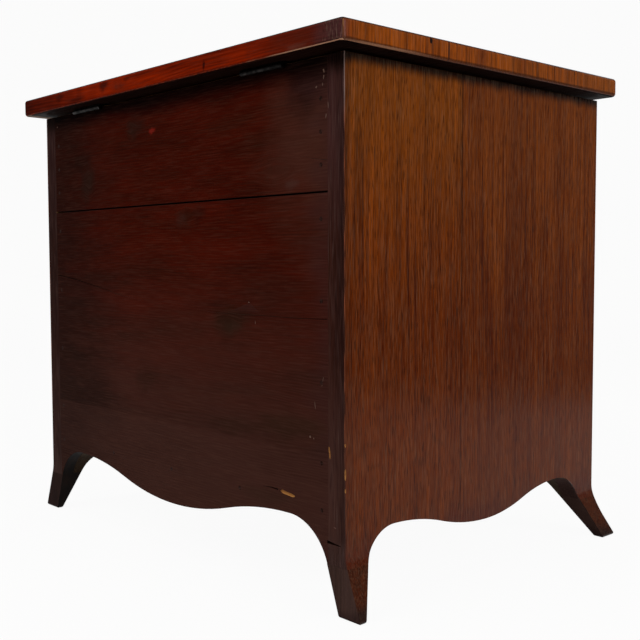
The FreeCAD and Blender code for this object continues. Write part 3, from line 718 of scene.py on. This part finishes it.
# Near-black for faces between and under the boards: dirt, and painted shade.
sooty_and_shaded = edge_finish("sooty_and_shaded_wood", "#0a0605", "#1a100c", 0.4, 0.7)
print("rubbed, worn and grimy edges")

# %% [markdown]
# ## Bare pine
# Nobody stained the inside. Two hundred years have turned the pine from cream to a dry tan, darker in the
# rings and with hardly any shine. Underneath, it is darkened nearly black by dirt and by painted shade.
# Fresh chips on the outside show the same wood, but yellower. Its rings are wide waves, so a simpler
# finish than the stained one is enough.

# %% Bare pine finish
BARE_RING_MM = 8.0
BARE_DRIFT = 26.0
LATE_WOOD_POWER = 2.5


def bare_pine(name, along, pale, ring, shift=(0, 0, 0), coats=()):
    """Unstained pine: rings 8 mm apart with thin dark late wood, fine fibres and a few old stains."""
    material, tree, shader = new_finish(name, Specular_IOR_Level=0.12, IOR=1.5)
    space = grain_space(tree, along, shift, 8.0)
    across = node(tree, "SeparateXYZ", {0: space}, out=None)[0]
    phase = weigh(tree, streaks(tree, space, 50, 400, 0.2, 0.8), BARE_DRIFT, across)
    rings = growth_rings(tree, phase, BARE_RING_MM)
    rings = node(tree, "Math", {0: rings, 1: LATE_WOOD_POWER}, operation="POWER")
    fibres = streaks(tree, space, 1.2, 70)
    stains = streaks(tree, space, 70, 120, 0.3, 0.75, 3.0)
    colour = blend(tree, weigh(tree, rings, 0.6), paint(pale), paint(ring))
    colour = blend(tree, weigh(tree, fibres, 0.25), colour, paint(ring))
    colour = blend(tree, weigh(tree, stains, 0.35), colour, paint("#6b4a2c"))
    colour = lay_coats(tree, colour, coats)
    height = weigh(tree, rings, 0.5, fibres)
    show(tree, shader, colour, weigh(tree, fibres, 0.1, 0.75), height, strength=0.3, depth_mm=0.2)
    return material


# Below the bottom board the pine turns near-black: dirt, and painted shade under the chest.
DIRT_AND_SHADE_UNDERNEATH = ((wash, "Z", 116, 108, "#130c08", 0.93),)
pine_across = bare_pine("bare_pine_grain_x", "x", "#b58a58", "#8a5e34", coats=DIRT_AND_SHADE_UNDERNEATH)
pine_deep = bare_pine("bare_pine_grain_y", "y", "#b58a58", "#8a5e34", (30, 10, 70), DIRT_AND_SHADE_UNDERNEATH)
pine_upright = bare_pine("bare_pine_grain_z", "z", "#b28655", "#865a32", (60, 90, 20), DIRT_AND_SHADE_UNDERNEATH)
fresh_chip = bare_pine("fresh_chipped_pine", "x", "#b07a40", "#7e4c26")
old_chip = bare_pine("old_chipped_pine", "x", "#6e564e", "#523c36")
print("bare pine in three directions, and two kinds of chips")

# %% [markdown]
# ## Metals
# The escutcheon and lock plates are cast brass gone brown in the hollows. The hinges and their screws are
# steel, dulled nearly black, the lock is filed iron, and the nails are iron that was stained over with
# the boards. One even colour would do for new metal. Old metal is never one grey, so a fine cloud of
# tarnish breaks up the colour and the roughness of each.

# %% Metal finishes
def old_metal(name, bright, tarnish, rough, spread, grit_mm):
    """A metal with tarnish: spread is how far the tarnish reaches, from 0 to 1."""
    material, tree, shader = new_finish(name, Metallic=1.0)
    low, high = 0.62 - 0.3 * spread, 0.75 - 0.2 * spread
    cloud = streaks(tree, place_in_mm(tree), grit_mm, grit_mm, low, high, 4.0)
    colour = blend(tree, cloud, paint(bright), paint(tarnish))
    show(tree, shader, colour, weigh(tree, cloud, 0.3, rough), cloud, strength=0.2, depth_mm=0.1)
    return material


brass = old_metal("aged_cast_brass", "#b8935a", "#5a4326", 0.32, 0.5, 3.0)
steel = old_metal("dull_rolled_steel", "#221e1c", "#0a0807", 0.3, 0.9, 9.0)
lock_iron = old_metal("filed_lock_iron", "#5a544e", "#241f1b", 0.4, 0.6, 6.0)
iron = old_metal("cut_nail_iron", "#3a231d", "#281612", 0.6, 0.7, 1.5)
print("brass, steel and two kinds of iron")

# %% [markdown]
# ## Chips and splits
# Old boards shrink and split, and their corners get knocked off. A dark line or a pale patch in the stain
# would do from far away. Here splits and chips are cut out with rough little cutters instead, so that
# they have real depth and real shadow. Chips in one cutter are kept apart, because an exact cut expects a
# cutter that doesn't cross itself.

# %% Cutter helpers
CHIP_SEED = 11
CHIP_ROUGH_LEAST, CHIP_ROUGH_MOST = 0.75, 1.15
SPLIT_PINCH = 0.85
SPLIT_OVERSHOOT_MM = 0.5
dice = random.Random(CHIP_SEED)


def chip(shape, centre, size, tilt):
    """Add a rough lens to a cutter: centre and size in millimetres, tilted in degrees about the y axis."""
    turn = Matrix.Rotation(math.radians(tilt), 3, "Y")
    for corner in bmesh.ops.create_icosphere(shape, subdivisions=2, radius=0.5)["verts"]:
        rough = dice.uniform(CHIP_ROUGH_LEAST, CHIP_ROUGH_MOST)
        lens = Vector([c * s * rough for c, s in zip(corner.co, size)])
        corner.co = (Vector(centre) + turn @ lens) * MM


def split(shape, line, width, depth):
    """Add a wedge to a cutter along a line of (x, z) places on the back, pinched at its end."""
    outside = BACK_FACE_MM + SPLIT_OVERSHOOT_MM
    rows = []
    for i, (x, z) in enumerate(line):
        half = width / 2 * (1 - SPLIT_PINCH * i / (len(line) - 1))
        corners = ((x, outside, z + half), (x, outside, z - half), (x, BACK_FACE_MM - depth, z))
        rows.append([shape.verts.new(Vector(corner) * MM) for corner in corners])
    for row, following in zip(rows, rows[1:]):
        for i in range(3):
            j = (i + 1) % 3
            shape.faces.new((row[i], row[j], following[j], following[i]))
    shape.faces.new(rows[0])
    shape.faces.new(rows[-1])
    bmesh.ops.recalc_face_normals(shape, faces=shape.faces)


def cutter(name, finish, parts):
    """One hidden cutting shape from a list of (function, arguments)."""
    shape = bmesh.new()
    for add, *values in parts:
        add(shape, *values)
    mesh = bpy.data.meshes.new(name)
    shape.to_mesh(mesh)
    shape.free()
    mesh.materials.append(finish)
    return bpy.data.objects.new(name, mesh)


print("chips are rough by", CHIP_ROUGH_LEAST, "to", CHIP_ROUGH_MOST)

# %% [markdown]
# ## The wear on this chest
# Two long splits and three short ones run along the back, most chips sit near its left corner, and the
# lid's left rim has two dents. They could be scattered at random, but wear has causes, so each place is
# given one by one. Fresh chips show clean wood and old ones are dirty, so they are separate cutters.

# %% Chips, splits and dents
y = BACK_FACE_MM
fresh_chips = cutter("fresh_chips", fresh_chip, [
    (chip, (-201, y, 104.6), (27, 2.6, 3.6), -5),
    (chip, (-262, y, 153), (2.2, 1.6, 13), 6), (chip, (-283.0, y, 136), (2.6, 1.8, 13), 2),
    (chip, (-283.0, y, 163), (2.4, 1.6, 4), 0), (chip, (-283.2, y, 121), (2.0, 1.4, 5), 0),
])
old_chips = cutter("old_chips", old_chip, [
    (chip, (-255, y, 505), (2.0, 1.0, 4), 15), (chip, (-255, y, 499), (1.6, 1.0, 4), -10),
    (chip, (-253.5, y, 493), (1.6, 0.9, 3), 0), (chip, (-245, y, 491.5), (2.6, 1.0, 2.2), 20),
    (chip, (-261, y, 473.5), (1.3, 0.9, 6), 5), (chip, (-258, y, 464), (1.4, 0.9, 5), -12),
    (chip, (-235, y, 165), (2.6, 1.0, 2.6), 30), (chip, (-240, y, 164), (1.6, 0.8, 1.8), 0),
    (chip, (-252.5, y, 219), (0.9, 0.6, 10), -15), (chip, (-242, y, 196), (0.9, 0.6, 8), 8),
    (chip, (-153, y, 270), (0.9, 0.5, 4), 4), (chip, (-143, y, 290), (3.0, 0.5, 0.9), -6),
    (chip, (-84, y, 59), (3.0, 1.0, 1.6), 0), (chip, (-269, y, 84), (3.2, 0.8, 1.4), -25),
    (chip, (254, y, 505), (2.6, 0.9, 2.0), 0),
])
back_splits = cutter("back_splits", stained_pine("stained_split", "x", "#0c0604", "#1a0b07"), [
    (split, [(257, 313.5), (214, 308.7), (176, 302.9), (140, 297.4), (105, 290.9), (72, 288)], 1.2, 3.0),
    (split, [(-259, 277.7), (-221, 277), (-161, 277.4), (-103, 277.2), (-70, 278)], 0.7, 2.0),
    (split, [(-259, 424), (-240, 426.5), (-218, 431.5)], 0.6, 1.2),
    (split, [(-258.5, 69), (-268, 68.4), (-277, 68)], 3.4, 4.0),
    (split, [(-187.2, 106.2), (-178, 106.6), (-164, 106.0)], 2.2, 1.4),
])
lid_dents = cutter("lid_dents", grimy_edge, [
    (chip, (-303.3, 112, 539), (3.4, 5.0, 9.0), 0), (chip, (-302.9, -129, 538), (1.6, 1.3, 9.0), 0),
])
print("cutters for", len(fresh_chips.data.polygons) + len(old_chips.data.polygons), "chip faces")

# %% [markdown]
# ## Cutting
# A Boolean modifier takes a cutter's shape out of a board, as a chisel would. It could stay on the board
# as a live modifier. Here it is applied at once, so that the board's mesh is final, and the cut faces
# keep the finish of their cutter.

# %% Cutting helper
def cut_out(piece, shape_to_cut):
    """Take a cutter's shape out of a piece for good, and leave the cutter's finish on the cut faces."""
    scene.collection.objects.link(shape_to_cut)
    knife = piece.modifiers.new("knife", "BOOLEAN")
    knife.operation = "DIFFERENCE"
    knife.solver = "EXACT"
    knife.material_mode = "TRANSFER"
    knife.object = shape_to_cut
    ready = piece.evaluated_get(bpy.context.evaluated_depsgraph_get())
    whole = piece.data
    piece.data = bpy.data.meshes.new_from_object(ready)
    piece.modifiers.clear()
    bpy.data.meshes.remove(whole)
    scene.collection.objects.unlink(shape_to_cut)


print("a cut face takes its cutter's finish")

# %% [markdown]
# ## Easing
# A saw leaves a sharp edge, and hands and dusters round it. So the long sharp edges of a board get a
# small rounded bevel. A Bevel modifier could do this too, but here it is simple to leave out the edges
# where two boards meet flush.

# %% Easing helper
SHARP = math.radians(40)
SHORTEST_ARRIS = 2.5 * MM
ALONG_AXIS = 0.99
EASE_STEPS = 3


def ease_arrises(shape, ease, square, rubbed):
    """Round the long sharp edges by ease millimetres, except those along an axis named in square."""
    kept = ["xyz".index(axis) for axis in square]
    arrises = []
    for edge in shape.edges:
        run = edge.verts[1].co - edge.verts[0].co
        if not edge.is_manifold or edge.calc_face_angle() < SHARP or run.length < SHORTEST_ARRIS:
            continue
        if any(abs(run[axis]) > ALONG_AXIS * run.length for axis in kept):
            continue
        arrises.append(edge)
    bmesh.ops.bevel(shape, geom=arrises, offset=ease * MM, offset_type="OFFSET", segments=EASE_STEPS,
                    profile=0.5, affect="EDGES", clamp_overlap=True, material=rubbed)


print("edges over", SHORTEST_ARRIS / MM, "mm are eased")

# %% [markdown]
# ## Dressing a board
# Each outer board is copied, and the triangles of the copy are joined back into flat faces, because a
# bevel works badly on thin triangles. Then each face takes the finish that the maker gave it: stain
# outside, bare wood inside. The model's own mesh could be painted instead, but its edges would stay
# sharp.

# %% Dressing helpers
FLAT = math.radians(0.5)
SAME_PLACE = 1e-6


def mesh_of(shape, name, finishes):
    """A mesh from a shape, with its list of finishes."""
    mesh = bpy.data.meshes.new(name)
    shape.verts.index_update()
    faces = [[v.index for v in f.verts] for f in shape.faces]
    mesh.from_pydata([v.co.copy() for v in shape.verts], [], faces)
    mesh.polygons.foreach_set("material_index", [f.material_index for f in shape.faces])
    for finish in finishes:
        mesh.materials.append(finish)
    return mesh


def dress(name, finishes, choose=None, ease=0.5, square="", cuts=(), rubbed=-1):
    """Copy a piece, choose each face's finish by its normal, ease its arrises and cut its wear."""
    shape = bmesh.new()
    shape.from_mesh(pieces[name].data)
    bmesh.ops.remove_doubles(shape, verts=shape.verts, dist=SAME_PLACE)
    bmesh.ops.dissolve_limit(shape, angle_limit=FLAT, verts=shape.verts, edges=shape.edges)
    shape.normal_update()
    for face in shape.faces:
        face.material_index = choose(face.normal) if choose else 0
    ease_arrises(shape, ease, square, rubbed)
    made = bpy.data.objects.new(name + "_eased", mesh_of(shape, name + "_eased", finishes))
    shape.free()
    scene.collection.objects.link(made)
    for shape_to_cut in cuts:
        cut_out(made, shape_to_cut)
    made.data.polygons.foreach_set("use_smooth", [True] * len(made.data.polygons))
    made.data.set_sharp_from_angle(angle=SHARP)
    keep_flat = made.modifiers.new("flat_faces_stay_flat", "WEIGHTED_NORMAL")
    keep_flat.keep_sharp = True
    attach(made, pieces[name]["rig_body"])
    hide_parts(name)
    return made


print("faces within", round(math.degrees(FLAT), 2), "degrees of each other are joined")

# %% [markdown]
# ## Dressing the carcase
# Outside faces of the back are stained and the inside is bare. The sides are stained only on the edge
# that shows at the back, and the veneer's own edge there is rubbed pale. Painting an image for each board
# would work too. Here the direction that a face looks in is enough to tell which finish it takes.

# %% Carcase pieces
FACING, LEANING = 0.5, 0.3


def stained_behind(normal):
    return 0 if normal.y > FACING else 1


def lower_back_faces(normal):
    """Stained behind, bare inside, and near-black round its edges: dirt and painted shade."""
    return 0 if normal.y > FACING else 1 if normal.y < -FACING else 2


def upper_back_faces(normal):
    """Stained behind, near-black in the gap between the boards from dirt and painted shade, bare
    elsewhere.
    """
    return 0 if normal.y > FACING else 2 if normal.z < -LEANING else 1


def foot_faces(outward):
    """Stained behind, polished outside, near-black inside and underneath: dirt and painted shade."""
    def choose(normal):
        polished = normal.x * outward > LEANING or normal.y < -LEANING
        return 0 if normal.y > FACING else 1 if polished else 3
    return choose


BACK_CUTS = [back_splits, fresh_chips, old_chips]
FOOT_FINISHES = [foot_edge, foot_solid, foot_arris, sooty_and_shaded]
dressed = []
for side, outward in (("left", -1), ("right", 1)):
    dressed.append(dress(side + "_veneer_rear", [rubbed_edge, side_leaf_rear],
                         stained_behind, 0.4, cuts=[fresh_chips]))
    dressed.append(dress(side + "_veneer_front", [side_leaf_front], ease=0.4))
    dressed.append(dress("front_veneer_" + side, [front_leaf], ease=0.4))
    dressed.append(dress(side + "_side_board", [edge_stain, pine_upright],
                         stained_behind, 0.3, "z", cuts=BACK_CUTS))
    for end in ("front", "rear"):
        dressed.append(dress("foot_" + end + "_" + side, FOOT_FINISHES,
                             foot_faces(outward), 0.8, rubbed=FOOT_FINISHES.index(foot_arris)))
for board, faces in (("lower", lower_back_faces), ("upper", upper_back_faces)):
    dressed.append(dress("back_board_" + board, [back_stain, pine_across, sooty_and_shaded],
                         faces, 0.5, "yz", cuts=BACK_CUTS))
print(len(dressed), "carcase pieces dressed")

# %% [markdown]
# ## Dressing the lid
# The lid is a pine panel between two cleats, edged and crossbanded in mahogany. Its back edge was only
# stained, and the lower arris there is worn pale by the hands that lift it. The model's rims are already
# rounded in small facets, so again the way each facet leans picks its finish.

# %% Lid pieces
LEVEL = 0.97
UNDERSIDE, UPPER_ARRIS = -0.8, 0.55


def grimy_rim(normal):
    return 0 if normal.z > LEVEL else 1


def lid_back_faces(normal):
    """Stain behind, plain stain underneath, wear on the lower arris and grime on the upper one."""
    if normal.y < LEANING or normal.z < UNDERSIDE:
        return 1
    return 2 if normal.z < -FACING else 3 if normal.z > UPPER_ARRIS else 0


LID_BACK_FINISHES = [lid_under_stain, worn_arris, grimy_edge]
dressed.append(dress("lid_board_rear", [lid_stain] + LID_BACK_FINISHES,
                     lid_back_faces, 0.2, "yz"))
dressed.append(dress("lid_board_front", [lid_under_stain], ease=0.4))
for side, end_finish in (("left", cleat_end), ("right", lid_stain)):
    dressed.append(dress("lid_cleat_" + side, [end_finish] + LID_BACK_FINISHES,
                         lid_back_faces, 0.2, "yz"))
    dressed.append(dress("lid_edge_band_" + side, [band_end, crossband_edge],
                         stained_behind, 0.4, cuts=[lid_dents]))
    dressed.append(dress("lid_crossband_" + side, [crossband_along, grimy_edge],
                         grimy_rim, 0.15, cuts=[lid_dents]))
dressed.append(dress("lid_edge_band_front", [crossband_edge], ease=0.4))
for end in ("front", "back"):
    dressed.append(dress("lid_crossband_" + end, [crossband_across, grimy_edge],
                         grimy_rim, 0.15))
dressed.append(dress("lid_top_veneer", [lid_leaf], ease=0.15))
print(len(dressed), "pieces dressed in all")

# %% [markdown]
# ## Everything else
# The hidden carpentry, the hinges and the lock keep their own meshes, which are right as they are. They
# only need their finish, chosen by the start of their name: bare pine that follows each stick's length,
# iron nails and lock, steel hinges, and brass plates. The first start that fits is taken, so a longer one
# stands before a shorter one.

# %% Finishes for the pieces that keep their shape
FINISH_BY_NAME = (
    ("bottom_board", pine_across), ("bottom_bearer_left", pine_deep), ("bottom_bearer_right", pine_deep),
    ("bottom_bearer", pine_across), ("corner_fillet", pine_upright), ("glue_blocks", pine_upright),
    ("foot_dowels", pine_upright), ("front_board", pine_across), ("back_nails", iron),
    ("bottom_nails", iron), ("hinge", steel), ("lock_case", lock_iron), ("lock_bolt", lock_iron),
    ("lock", brass), ("keyhole_escutcheon", brass), ("escutcheon_pins", brass),
)
for name, piece in pieces.items():
    if piece.hide_render:
        continue
    finish = next(f for start, f in FINISH_BY_NAME if name.startswith(start))
    for place in piece.material_slots:
        place.material = finish
print("all", len(pieces), "pieces have a finish")
